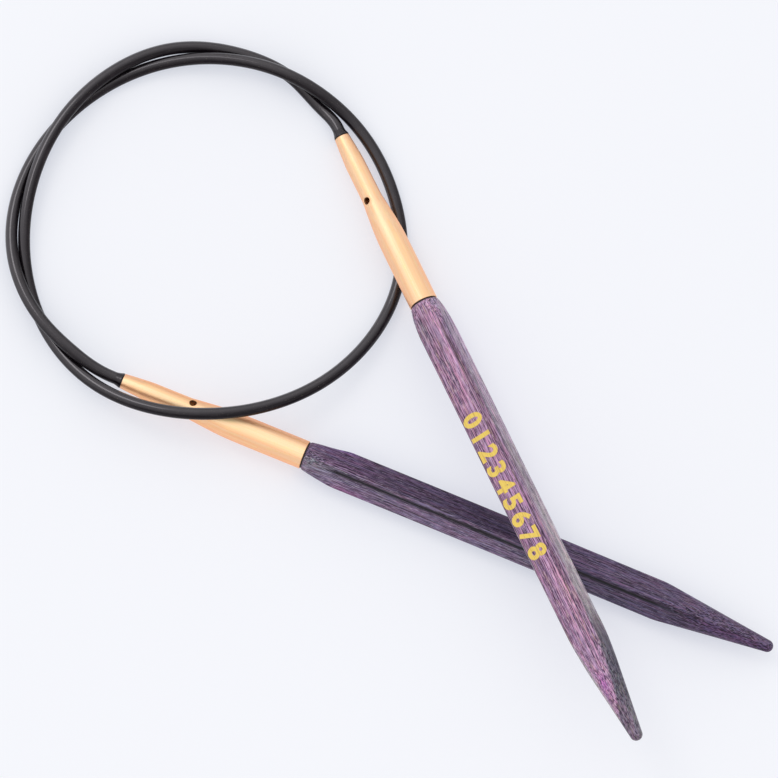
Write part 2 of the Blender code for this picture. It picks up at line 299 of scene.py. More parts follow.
def turned_object(name, outline, steps, matrix, shape_points=None):
    """A closed turned ring; shape_points may move its points before it is meshed."""
    points = turned_points(outline, steps)
    if shape_points:
        points = shape_points(points)
    faces = grid_faces(len(outline), steps, closed_rows=True)
    return mesh_object(name, points.reshape(-1, 3), faces, matrix)


def evaluated_mesh(obj):
    """A new mesh of the object as its modifiers or its text leave it."""
    graph = bpy.context.evaluated_depsgraph_get()
    return bpy.data.meshes.new_from_object(obj.evaluated_get(graph))


def set_vectors(obj, name, values):
    attribute = obj.data.attributes.new(name, "FLOAT_VECTOR", "POINT")
    attribute.data.foreach_set("vector", np.asarray(values, np.float32).ravel())


def finish_piece(obj, material, body, slot, *nodes):
    """Material and ride of a piece, and it hides the CAD nodes that the piece stands for."""
    obj.data.materials.append(material)
    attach(obj, body)
    if nodes:
        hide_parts(*nodes)


def quarter_round(height, radius, size, way):
    """Points of an eased rim, from (height, radius) inwards; way is up (1) or down (-1)."""
    turn = np.linspace(0, math.pi / 2, 6)[1:]
    return [
        (height + way * size * math.sin(t), radius - size + size * math.cos(t)) for t in turn
    ]


def ferrule_outline(key):
    """Closed outline of the swaged tube: eased mouth, side, eased tail and stepped bore."""
    length = SEAMS[key] - GLUE_WIDTH
    mouth_radius, tail_radius = FERRULE_SIDE[0][1], FERRULE_SIDE[-1][1]
    mouth = quarter_round(MOUTH_RIM, mouth_radius, MOUTH_RIM, -1)
    tail = quarter_round(length - TAIL_RIM, tail_radius, TAIL_RIM, 1)
    side = smooth_side(FERRULE_SIDE + ((length - TAIL_RIM, tail_radius),), FERRULE_PITCH)
    bore = [
        (BORE_START, NECK_BORE),
        (NECK_END, NECK_BORE),
        (FUNNEL_END, FUNNEL_BORE),
        (SOCKET_START, FUNNEL_BORE),
        (SOCKET_START, SOCKET_RADIUS),
        (length, SOCKET_RADIUS),
    ]
    return mouth[::-1] + side + tail + bore[::-1]


def cut_vent(obj, towards):
    """Drill the vent through one wall; towards points to it in the needle's frame."""
    drill = bmesh.new()
    bmesh.ops.create_cone(
        drill,
        cap_ends=True,
        segments=48,
        radius1=VENT_RADIUS * MM,
        radius2=VENT_RADIUS * MM,
        depth=DRILL_DEPTH * MM,
    )
    drill_mesh = bpy.data.meshes.new("vent_drill")
    drill.to_mesh(drill_mesh)
    drill.free()
    cutter = bpy.data.objects.new("vent_drill", drill_mesh)
    bpy.context.scene.collection.objects.link(cutter)
    middle = (towards * DRILL_REACH + Vector((0.0, 0.0, VENT_POSITION))) * MM
    turn = towards.to_track_quat("Z", "Y").to_matrix().to_4x4()
    cutter.matrix_world = obj.matrix_world @ Matrix.Translation(middle) @ turn
    cut = obj.modifiers.new("Vent", "BOOLEAN")
    cut.operation = "DIFFERENCE"
    cut.object = cutter
    bpy.context.view_layer.update()
    finished = evaluated_mesh(obj)
    obj.modifiers.clear()
    obj.data = finished
    bpy.data.objects.remove(cutter)
    finished.shade_smooth()
    finished.set_sharp_from_angle(angle=math.radians(40))


def build_ferrule(key, material):
    """Swaged tube with a drawn-in neck, eased rims and one vent in a shallow dimple."""
    angle = vent_angle(key)
    towards = np.array([math.cos(angle), math.sin(angle), 0.0])

    def dimple(points):
        facing = points @ towards
        off = points - facing[..., None] * towards
        off[..., 2] -= VENT_POSITION
        near = smoothstep(DIMPLE_RADIUS, 0.6 * VENT_RADIUS, np.linalg.norm(off, axis=-1))
        near *= facing > NEAR_WALL
        return points - (near * DIMPLE_DEPTH)[..., None] * towards

    outline = ferrule_outline(key)
    matrix = NEEDLE_FRAMES[key]
    obj = turned_object(f"ferrule_shell_{key}", outline, ROUND_STEPS, matrix, dimple)
    cut_vent(obj, Vector(towards))
    finish_piece(obj, material, f"needle_{key}", "rose_gold", f"ferrule_{key}")


def build_collar(key, material):
    """Moulded collar: it swells from the cable to the ferrule's mouth, with a round lip."""
    side = smooth_side(COLLAR_SIDE, COLLAR_PITCH)
    outline = side + [(COLLAR_SIDE[-1][0], COLLAR_BORE), (COLLAR_SIDE[0][0], COLLAR_BORE)]
    obj = turned_object(f"cable_collar_{key}", outline, COLLAR_STEPS, NEEDLE_FRAMES[key])
    finish_piece(obj, material, f"cable_end_{key}", "black_nylon", f"swivel_collar_{key}")


def build_glue(key, material):
    """Glue sleeve round the tenon, and the uneven bead that shows at the seam."""
    inner, outer = TENON_RADIUS + GLUE_GAP, SOCKET_RADIUS - GLUE_GAP
    low, high = SEAMS[key] - GLUE_WIDTH + GLUE_INSET, SEAMS[key] - GLUE_INSET
    foot = SOCKET_START + 0.5
    bead = [
        (low, BEAD_FOOT),
        (low + BEAD_EASE, BEAD_SIDE),
        ((low + high) / 2, BEAD_TOP),
        (high - BEAD_EASE, BEAD_SIDE),
        (high, BEAD_FOOT),
    ]
    outline = bead + [(high, inner), (foot, inner), (foot, outer), (low, outer)]

    def uneven(points):
        angle = np.arctan2(points[..., 1], points[..., 0])
        wave = 1 + 0.006 * np.sin(3 * angle + 1.0) + 0.004 * np.sin(8 * angle)
        height = points[..., 2]
        at_bead = (height > low + BEAD_EASE / 2) & (height < high - BEAD_EASE / 2)
        wave = np.where(at_bead, wave, 1.0)
        return points * np.stack([wave, wave, np.ones_like(wave)], axis=-1)

    obj = turned_object(f"glue_line_{key}", outline, ROUND_STEPS, NEEDLE_FRAMES[key], uneven)
    finish_piece(obj, material, f"needle_{key}", "dark_glue", f"glue_joint_{key}")


def square_radius(angle):
    """Distance from the axis to the rounded square's outline, at angles from a flat."""
    quarter = math.pi / 4
    folded = np.abs((angle + quarter) % (2 * quarter) - quarter)
    centre = HALF_ACROSS - EDGE_RADIUS
    reach = centre * math.sqrt(2)
    off = quarter - folded
    inside = np.maximum(EDGE_RADIUS**2 - (reach * np.sin(off)) ** 2, 0.0)
    on_flat = HALF_ACROSS * np.tan(folded) <= centre
    return np.where(on_flat, HALF_ACROSS / np.cos(folded), reach * np.cos(off) + np.sqrt(inside))


def turned_radius(height, seam):
    """Radius of the turned shoulder and point that the square shaft is cut to."""
    nose = NEEDLE_LENGTH - POINT_RADIUS
    if height < POINT_START:
        t = min((height - seam) / SHOULDER_LENGTH, 1.0)
        lip = SHOULDER_LIP * max(1 - (height - seam) / (2 * SHOULDER_LIP), 0.0) ** 2
        swell = 1 - (1 - t) ** SHOULDER_POWER
        return SHOULDER_RADIUS + (CORNER - SHOULDER_RADIUS) * swell - lip
    if height > nose:
        return math.sqrt(max(POINT_RADIUS**2 - (height - nose) ** 2, 0.0))
    t = (height - POINT_START) / (nose - POINT_START)
    return CORNER + (POINT_RADIUS - CORNER) * t


def soft_least(a, b, width):
    """The lesser of a and b, with the crossing rounded over by width."""
    t = np.clip(0.5 + 0.5 * (b - a) / width, 0.0, 1.0)
    return b + (a - b) * t - width * t * (1 - t)


def wood_heights(seam):
    nose = NEEDLE_LENGTH - POINT_RADIUS
    lip = np.linspace(seam, seam + 2 * SHOULDER_LIP, 5)[:-1]
    shoulder = np.linspace(seam + 2 * SHOULDER_LIP, seam + SHOULDER_LENGTH, 48)
    shaft = np.linspace(seam + SHOULDER_LENGTH, POINT_START, 110)[1:]
    point = np.linspace(POINT_START, nose, 64)[1:]
    cap = nose + POINT_RADIUS * np.sin(np.linspace(0, math.pi / 2, 12)[1:-1])
    return np.concatenate([lip, shoulder, shaft, point, cap])


def wood_angles():
    """Angles round the shaft, closer together over each rounded edge."""
    flat = np.linspace(-39, 39, 41)
    edge = np.linspace(39, 51, 16)[1:-1]
    quarter = np.concatenate([flat, edge])
    return np.radians(np.concatenate([quarter + 90 * side for side in range(4)]))


def ramp_between(rows, at):
    """Values that run straight from row to row of (height, value, value, ...)."""
    rows = np.array(rows, float)
    return np.stack([np.interp(at, rows[:, 0], column) for column in rows[:, 1:].T], axis=-1)


def from_edge(x, y, edge):
    """Distance from one long edge, positive on the face that edge's third value names."""
    sign_x, sign_y, side = edge
    on_x_face = np.maximum(HALF_ACROSS - sign_y * y, 0.0)
    on_y_face = np.maximum(HALF_ACROSS - sign_x * x, 0.0)
    nearer_x = sign_x * x > sign_y * y
    away = np.where(nearer_x, on_x_face, -on_y_face)
    return away * (1 if side == "x" else -1)


def tint_points(points, look):
    """Colour multiplier of each point: faces, lines along edges, slate point and patches. Part of it is painted
    light: sheen on faces, lighter lines as painted highlights and rims, a painted highlight patch, and painted
    shade on needle 2 where needle 1 lies across it.
    """
    x, y, z = points.T
    on_x = smoothstep(-0.35, 0.35, np.abs(x) - np.abs(y))[:, None]
    # face rows: the wood's own face colours with painted sheen and painted shade among them
    tint_with_painted_light = ramp_between(look["x_face"], z) * on_x + ramp_between(look["y_face"], z) * (1 - on_x)
    # edge lines; those whose strength is below nought lighten, as painted highlights and rims
    for edge in look["edges"]:
        away = from_edge(x, y, edge["corner"])
        shape = np.exp(-(((away - edge["at"]) / edge["width"]) ** 2))
        strength = ramp_between(edge["strength"], z)[:, 0]
        tint_with_painted_light *= 1 - (shape * strength)[:, None] * np.array(edge.get("colour", (1.0, 1.0, 1.0)))
    across = x * look["across"][0] + y * look["across"][1]
    if look["slate"]:
        border, most = ramp_between(look["slate"], z).T
        slate = (smoothstep(0.35, -0.35, across - border) * most)[:, None]
        tint_with_painted_light = tint_with_painted_light * (1 - slate) + np.array(SLATE_TINT) * slate
    # patches, one of them a painted highlight by needle 2's seam
    for height, off, reach_z, reach, colour in look["patches"]:
        spot = np.exp(-(((z - height) / reach_z) ** 2) - ((across - off) / reach) ** 2)
        tint_with_painted_light *= 1 + spot[:, None] * (np.array(colour) - 1)
    return np.clip(tint_with_painted_light, 0.0, 4.0)


def section(radius, angles, height, wide=1.0):
    """Points of one cross-section, stretched by wide along y."""
    x, y = radius * np.cos(angles), radius * wide * np.sin(angles)
    return np.stack([x, y, np.full_like(angles, height)], axis=-1)


def tip_sections(seam, look, lean):
    """Cross-sections of the tenon, shoulder, shaft and point, slightly worn."""
    angles = wood_angles()
    square = square_radius(angles)
    waves = np.random.default_rng(look["seed"]).uniform(0, 2 * math.pi, WEAR_WAVES)
    rows = [section(TENON_RADIUS, angles, height) for height in (TENON_START, seam)]
    for height in wood_heights(seam):
        turned = turned_radius(height, seam)
        if lean:
            cut = look["cut"] * math.exp(-(((height - seam - LEAN_MIDDLE) / LEAN_REACH) ** 2))
            off = angles - math.atan2(lean.y, lean.x)
            turned = turned - cut * np.maximum(np.cos(off), 0)
        radius = soft_least(square, turned, FLAT_BLEND)
        worn = sum(
            np.sin(height * (0.11 + 0.07 * i) + wave + angles * (i + 1))
            for i, wave in enumerate(waves)
        )
        fade = smoothstep(seam, seam + 4, height) * (1 - smoothstep(*WEAR_END, height))
        radius = radius - WEAR_DEPTH * fade * (worn + WEAR_WAVES)
        wide = 1 + look["wide"] * smoothstep(seam, seam + 2, height)
        rows.append(section(radius, angles, height, wide))
    return rows


def build_tip(key, material, look):
    """Round tenon, swelling shoulder, square shaft with eased edges and round point."""
    seam = SEAMS[key]
    lean = None
    if look["lean"]:
        lean = NEEDLE_FRAMES[key].to_3x3().inverted() @ Vector(look["lean"])
    rows = tip_sections(seam, look, lean)
    count = len(rows[0])
    nose = len(rows) * count
    last = nose - count
    points = np.vstack([*rows, [0.0, 0.0, NEEDLE_LENGTH]])
    faces = grid_faces(len(rows), count)
    faces.append(tuple(range(count))[::-1])
    faces += [(last + j, last + (j + 1) % count, nose) for j in range(count)]
    # per-point colour multipliers, with painted sheen, highlights and shade among them
    tint_with_painted_light = tint_points(points, look)
    if lean:
        along = np.maximum(points[:, 2] - seam, 0.0) / (NEEDLE_LENGTH - seam)
        points[:, :2] -= look["warp"] * along[:, None] ** 2 * np.array(lean[:2])
    obj = mesh_object(f"wood_tip_{key}", points, faces, NEEDLE_FRAMES[key], sharp=50.0)
    set_vectors(obj, "tint_with_painted_light", tint_with_painted_light)
    finish_piece(obj, material, f"needle_{key}", "purple_wood", f"needle_tip_{key}")


# Cable


def ring_centres():
    """Middles of the CAD core's rings, in no order."""
    points = np.array([v.co for v in frame["nodes"]["cable_core"].data.vertices]) / MM
    points = np.unique(points.round(4), axis=0)
    centres = []
    while len(points):
        near = np.linalg.norm(points - points[0], axis=1) < RING_SPAN
        centres.append((points[near].max(axis=0) + points[near].min(axis=0)) / 2)
        points = points[~near]
    return np.array(centres)


def cable_line():
    """Knots and slopes of the cable's centre line from mouth 1 to mouth 2, by length."""
    mouths = {key: np.array(NEEDLE_FRAMES[key].translation) / MM for key in FLEX_JOINTS}
    ahead = {key: np.array(NEEDLE_FRAMES[key].col[2][:3]) for key in FLEX_JOINTS}
    hinges = {
        key: np.array(JOINTS[joint]["pos_m"]) / MM for key, joint in FLEX_JOINTS.items()
    }
    line = [mouths["1"], hinges["1"]]
    left = list(ring_centres())
    reach = FIRST_STEP
    while left:
        step = line[-1] - line[-2]
        guess = line[-1] + step / np.linalg.norm(step) * reach
        found = int(np.argmin([np.linalg.norm(c - guess) for c in left]))
        line.append(left.pop(found))
        reach = RING_STEP
    kept = [
        ring
        for ring in line[2:]
        if min(np.linalg.norm(ring - hinge) for hinge in hinges.values()) > HINGE_CLEAR
    ]
    points = np.array(line[:2] + kept + [hinges["2"], mouths["2"]])
    knots = np.concatenate([[0], np.cumsum(np.linalg.norm(np.diff(points, axis=0), axis=1))])
    return knots, points, spline_slopes(knots, points, -ahead["1"], ahead["2"])


def tube(name, line, start, end, material, pitch, steps=48):
    """A length of the cable's sheath between two distances from mouth 1."""
    knots, points, slopes = line
    at = np.linspace(start, end, int((end - start) / pitch) + 2)
    centre = hermite(knots, points, slopes, at)
    ahead = np.gradient(centre, at, axis=0)
    ahead /= np.linalg.norm(ahead, axis=1)[:, None]
    side = np.cross(ahead, [0.0, 0.0, 1.0])
    side /= np.linalg.norm(side, axis=1)[:, None]
    up = np.cross(side, ahead)
    angles = np.arange(steps) * 2 * math.pi / steps
    swing = side[:, None] * np.cos(angles)[:, None] + up[:, None] * np.sin(angles)[:, None]
    outer = centre[:, None] + swing * CABLE_RADIUS
    inner = (centre[:, None] + swing * CABLE_BORE)[::-1]
    lay = np.empty(outer.shape)
    lay[..., 0] = np.cos(angles) * CABLE_RADIUS
    lay[..., 1] = np.sin(angles) * CABLE_RADIUS
    lay[..., 2] = at[:, None]
    shell = np.concatenate([outer, inner])
    obj = mesh_object(name, shell.reshape(-1, 3), grid_faces(len(shell), steps, True))
    set_vectors(obj, "lay", np.concatenate([lay, lay[::-1]]).reshape(-1, 3))
    obj.data.materials.append(material)
    return obj


def build_cable(material):
    """The sheath: its coil, and at each end a length over the flex hinge."""
    line = cable_line()
    total = line[0][-1]
    coil = tube("cable_coil", line, BEND_START, total - BEND_START, material, COIL_PITCH)
    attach(coil, "cable")
    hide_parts("cable_sheath")
    for key in FLEX_JOINTS:
        start, end = BEND_START, BEND_END
        if key == "2":
            start, end = total - BEND_START, total - BEND_END
        span = sorted((start, end))
        bend = tube(f"cable_bend_{key}", line, *span, material, BEND_PITCH)
        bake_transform(bend)
        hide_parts(f"sheath_end_{key}")


# Print


def number_mesh(number):
    """Flat mesh of one generic number, centred on the origin along its own row."""
    text = bpy.data.curves.new("scale_number", "FONT")
    text.body = str(number)
    text.align_x = "CENTER"
    text.size = PRINT_HEIGHT / FIGURE_SHARE * MM
    text.offset = 0.05 * PRINT_HEIGHT * MM
    text.extrude = INK_DEPTH * MM
    text.resolution_u = 8
    letter = bpy.data.objects.new("scale_number", text)
    bpy.context.scene.collection.objects.link(letter)
    bpy.context.view_layer.update()
    mesh = evaluated_mesh(letter)
    bpy.data.objects.remove(letter)
    return mesh


def build_print(material):
    """Generic row of numbers in gold ink on needle 1's mount face."""
    shape = bmesh.new()
    for number in range(PRINT_COUNT):
        mesh = number_mesh(number)
        mesh.transform(Matrix.Translation((PRINT_PITCH * number * MM, 0, 0)))
        shape.from_mesh(mesh)
    bmesh.ops.remove_doubles(shape, verts=shape.verts, dist=1e-7)
    made = bpy.data.meshes.new("scale_mark")
    shape.to_mesh(made)
    shape.free()
    obj = bpy.data.objects.new("scale_mark", made)
    bpy.context.scene.collection.objects.link(obj)
    # the text's +X runs to the point and its +Y across the face, a hair above the wood
    lie = Matrix(((0, 0, 1), (0, -1, 0), (1, 0, 0))).to_4x4()
    corner = Vector((HALF_ACROSS - INK_SUNK, PRINT_BASE, PRINT_START))
    obj.matrix_world = NEEDLE_FRAMES["1"] @ Matrix.Translation(corner * MM) @ lie
    finish_piece(obj, material, "needle_1", "rose_gold")


# Materials


class Nodes:
    """The node tree of a material or a world, built with short calls."""

    def __init__(self, owner):
        owner.use_nodes = True
        self.owner = owner
        self.tree = owner.node_tree
        self.shader = self.tree.nodes.get("Principled BSDF")

    def add(self, kind, inputs=None, out=0, **settings):
        node = self.tree.nodes.new("ShaderNode" + kind)
        for name, value in settings.items():
            setattr(node, name, value)
        for name, value in (inputs or {}).items():
            self.put(node.inputs[name], value)
        return None if out is None else node.outputs[out]

    def put(self, socket, value):
        if isinstance(value, bpy.types.NodeSocket):
            self.tree.links.new(value, socket)
        elif socket.type == "RGBA" and len(value) == 3:
            socket.default_value = (*value, 1.0)
        else:
            socket.default_value = value

    def set(self, **inputs):
        for name, value in inputs.items():
            self.put(self.shader.inputs[name.replace("_", " ")], value)

    def math(self, operation, a, b=0.0):
        return self.add("Math", {0: a, 1: b}, operation=operation)

    def coords(self, attribute=None):
        """Object coordinates in metres, or a vector attribute in millimetres."""
        if attribute:
            return self.add("Attribute", out=1, attribute_name=attribute)
        return self.add("TexCoord", out=3)

    def noise(self, vector, sizes, detail=2.0, roughness=0.5, shift=0.0):
        """Noise whose blobs have these sizes along x, y and z, in the vector's unit."""
        scale = tuple(1.0 / size for size in sizes)
        scaled = self.add("VectorMath", {0: vector, 1: scale}, operation="MULTIPLY")
        moved = self.add("VectorMath", {0: scaled, 1: (shift,) * 3}, operation="ADD")
        values = {"Vector": moved, "Scale": 1.0, "Detail": detail, "Roughness": roughness}
        return self.add("TexNoise", values)

    def ramp(self, value, low, high, to_low=0.0, to_high=1.0):
        values = {0: value, 1: low, 2: high, 3: to_low, 4: to_high}
        return self.add("MapRange", values, interpolation_type="SMOOTHSTEP")

    def mix(self, factor, a, b, blend="MIX"):
        values = {0: factor, 6: a, 7: b}
        return self.add("Mix", values, out=2, data_type="RGBA", blend_type=blend)

    def bump(self, height, distance, strength=1.0):
        values = {"Height": height, "Distance": distance, "Strength": strength}
        self.put(self.shader.inputs["Normal"], self.add("Bump", values))


def new_material(name):
    return Nodes(bpy.data.materials.new(name))


def grain(across, along):
    """Sizes in metres of a streak that runs along the needle."""
    return (across * MM, across * MM, along * MM)


def wood_material(name, look):
    """Dyed birch laminate: fine streaks, warm and cool patches, dark pores, pale flecks."""
    made = new_material(name)
    place = made.coords()
    shift = look["seed"] * 7.3
    hair = made.noise(place, grain(0.075, 1.5), 0.0, 0.5, shift)
    fine = made.noise(place, grain(0.11, 13.0), 0.0, 0.5, shift + 2)
    broad = made.noise(place, grain(0.42, 30.0), 1.0, 0.5, shift + 3)
    hue = made.noise(place, grain(0.22, 4.0), 1.0, 0.5, shift + 5)
    pore = made.noise(place, grain(0.08, 2.6), 0.0, 0.5, shift + 8)
    fleck = made.noise(place, grain(0.08, 1.0), 0.0, 0.5, shift + 11)
    tan = made.noise(place, grain(0.28, 2.5), 1.0, 0.5, shift + 17)
    streak = made.math("MULTIPLY", hair, 0.40)
    streak = made.math("ADD", streak, made.math("MULTIPLY", fine, 0.42))
    streak = made.math("ADD", streak, made.math("MULTIPLY", broad, 0.18))
    colour = made.mix(made.ramp(streak, 0.385, 0.615), look["dark"], look["light"])
    shade = made.mix(made.ramp(hue, 0.38, 0.62), look["cool"], look["warm"])
    colour = made.mix(1.0, colour, shade, "MULTIPLY")
    colour = made.mix(made.ramp(tan, 0.60, 0.70, 0.0, 0.45), colour, look["tan"])
    colour = made.mix(made.ramp(fleck, 0.60, 0.74, 0.0, look["flecks"]), colour, look["fleck"])
    colour = made.mix(made.ramp(pore, 0.62, 0.74, 0.0, 0.7), colour, look["pore"])
    # the per-point tint: the wood's face colours, lines and patches, with painted sheen, highlights and shade
    # among them
    tint_with_painted_light = made.add("Attribute", out=0, attribute_name="tint_with_painted_light")
    colour = made.mix(1.0, colour, tint_with_painted_light, "MULTIPLY")
    made.set(Base_Color=colour, Specular_IOR_Level=look["shine"])
    made.set(Roughness=made.ramp(fine, 0.3, 0.7, 0.40, 0.56))
    made.set(Coat_Weight=look["coat"], Coat_Roughness=0.26)
    relief = made.math("SUBTRACT", made.math("MULTIPLY", fine, 0.7), made.ramp(pore, 0.6, 0.7))
    made.bump(relief, 0.025 * MM, 0.5)
    return made.owner


def rose_gold_material(name, towards, glow, painted_highlight_glow):
    """Satin plated brass, brushed along its length, with faint warm and cool streaks.

    Its outer skin glows faintly, painted light in place of light the studio lacks: by the second, brighter glow
    where it faces towards, a painted highlight, else by glow.
    """
    made = new_material(name)
    place = made.coords()
    brush = made.noise(place, grain(0.09, 9.0), 3.0, 0.65)
    flow = made.noise(place, grain(0.55, 28.0), 1.0, 0.5, 2.6)
    cloud = made.noise(place, grain(0.4, 2.5), 2.0, 0.5, 4.0)
    speck = made.noise(place, grain(0.16, 0.22), 1.0, 0.5, 9.0)
    facing = made.add("LayerWeight", {"Blend": 0.5}, out=1)
    # colour by facing: paler where the metal faces the view, more orange towards its outline; the paler middle is
    # partly a painted highlight
    colour = made.mix(made.ramp(facing, 0.15, 0.75), (1.0, 0.69, 0.44), (1.0, 0.56, 0.35))
    colour = made.mix(made.ramp(flow, 0.48, 0.60, 0.0, 0.5), colour, (1.0, 0.56, 0.29))
    colour = made.mix(made.ramp(cloud, 0.52, 0.70, 0.0, 0.5), colour, (1.0, 0.72, 0.36))
    fine = made.mix(made.ramp(brush, 0.3, 0.7), (0.88, 0.87, 0.86), (1.0, 1.0, 1.0))
    colour = made.mix(1.0, colour, fine, "MULTIPLY")
    colour = made.mix(made.ramp(speck, 0.60, 0.72, 0.0, 0.5), colour, (0.88, 0.55, 0.18))
    made.set(Base_Color=colour, Metallic=1.0, Anisotropic=0.4)
    made.set(Roughness=made.ramp(brush, 0.25, 0.75, 0.40, 0.50))
    # painted light: the outer skin glows faintly, and most where it faces towards, as a painted highlight
    normal = made.add("NewGeometry", out=1)
    faces_painted_light = made.add("VectorMath", {0: normal, 1: towards}, out=1, operation="DOT_PRODUCT")
    radius = made.add("VectorMath", {0: place, 1: (1.0, 1.0, 0.0)}, operation="MULTIPLY")
    radius = made.add("VectorMath", {0: radius}, operation="NORMALIZE")
    local = made.add("TexCoord", out=1)
    outward = made.add("VectorMath", {0: radius, 1: local}, out=1, operation="DOT_PRODUCT")
    made.set(Emission_Color=made.mix(made.ramp(faces_painted_light, 0.84, 0.995), glow, painted_highlight_glow))
    made.set(Emission_Strength=made.ramp(outward, 0.4, 0.8))
    made.set(Tangent=made.add("Tangent", direction_type="RADIAL", axis="Z"))
    made.bump(brush, 0.01 * MM, 0.35)
    return made.owner


def nylon_material(name, painted_sheens, attribute=None):
    """Gloss black nylon: drawing lines along it, faint scuffs, a little dust and a painted sheen: it reflects more
    on its side that faces up, left and back.
    """
    made = new_material(name)
    place = made.coords(attribute)
    unit = 1.0 if attribute else MM
    lines = made.noise(place, (0.12 * unit, 0.12 * unit, 14.0 * unit), 2.0, 0.6)
    scuff = made.noise(place, (0.5 * unit, 0.5 * unit, 2.5 * unit), 3.0, 0.6, 6.0)
    dust = made.noise(place, (0.10 * unit,) * 3, 1.0, 0.5, 12.0)
    colour = made.mix(made.ramp(scuff, 0.45, 0.75), (0.007, 0.005, 0.007), (0.018, 0.014, 0.017))
    colour = made.mix(made.ramp(dust, 0.73, 0.77, 0.0, 0.5), colour, (0.42, 0.38, 0.28))
    made.set(Base_Color=colour, Roughness=made.ramp(scuff, 0.3, 0.7, 0.13, 0.22))
    # painted highlight: more reflection where the surface faces up, left and back
    normal = made.add("NewGeometry", out=1)
    faces_painted_light = made.add("VectorMath", {0: normal, 1: PAINTED_SHEEN_TOWARDS}, out=1, operation="DOT_PRODUCT")
    painted_sheen = made.ramp(faces_painted_light, 0.25, 1.0, *painted_sheens)
    painted_sheen = made.math("ADD", painted_sheen, made.ramp(lines, 0.5, 0.7, 0.0, 0.12))
    made.set(Specular_IOR_Level=painted_sheen, Specular_Tint=(1.0, 0.95, 1.0))
    made.bump(made.math("ADD", lines, scuff), 0.012 * MM, 0.35)
    return made.owner


def glue_material():
    """Near-black cured adhesive with a slightly uneven skin."""
    made = new_material("cured_glue")
    place = made.coords()
    skin = made.noise(place, (0.25 * MM,) * 3, 3.0, 0.6)
    colour = made.mix(made.ramp(skin, 0.4, 0.7), (0.006, 0.004, 0.004), (0.020, 0.013, 0.012))
    made.set(Base_Color=colour, Roughness=made.ramp(skin, 0.3, 0.7, 0.30, 0.50))
    made.bump(skin, 0.02 * MM, 0.6)
    return made.owner


def gold_print_material():
    """Thin gold ink that lets a little grain through."""
    made = new_material("gold_ink")
    place = made.coords()
    thin = made.noise(place, (6.0 * MM, 0.25 * MM, 0.25 * MM), 3.0, 0.6)
    colour = made.mix(made.ramp(thin, 0.30, 0.55), (0.62, 0.40, 0.09), (0.86, 0.62, 0.12))
    made.set(Base_Color=colour, Metallic=0.15, Roughness=made.ramp(thin, 0.3, 0.7, 0.35, 0.5))
    made.bump(thin, 0.01 * MM, 0.4)
    return made.owner


def turned_metal_material(name, low, high, roughness):
    """Turned inner metal parts: fine tool marks and light staining."""
    made = new_material(name)
    place = made.coords()
    marks = made.noise(place, (0.06 * MM,) * 3, 3.0, 0.6)
    stain = made.noise(place, (0.8 * MM,) * 3, 2.0, 0.5, 5.0)
    colour = made.mix(made.ramp(stain, 0.35, 0.7), low, high)
    made.set(Base_Color=colour, Metallic=1.0)
    made.set(Roughness=made.ramp(marks, 0.3, 0.7, roughness - 0.06, roughness + 0.10))
    made.bump(marks, 0.01 * MM, 0.5)
    return made.owner
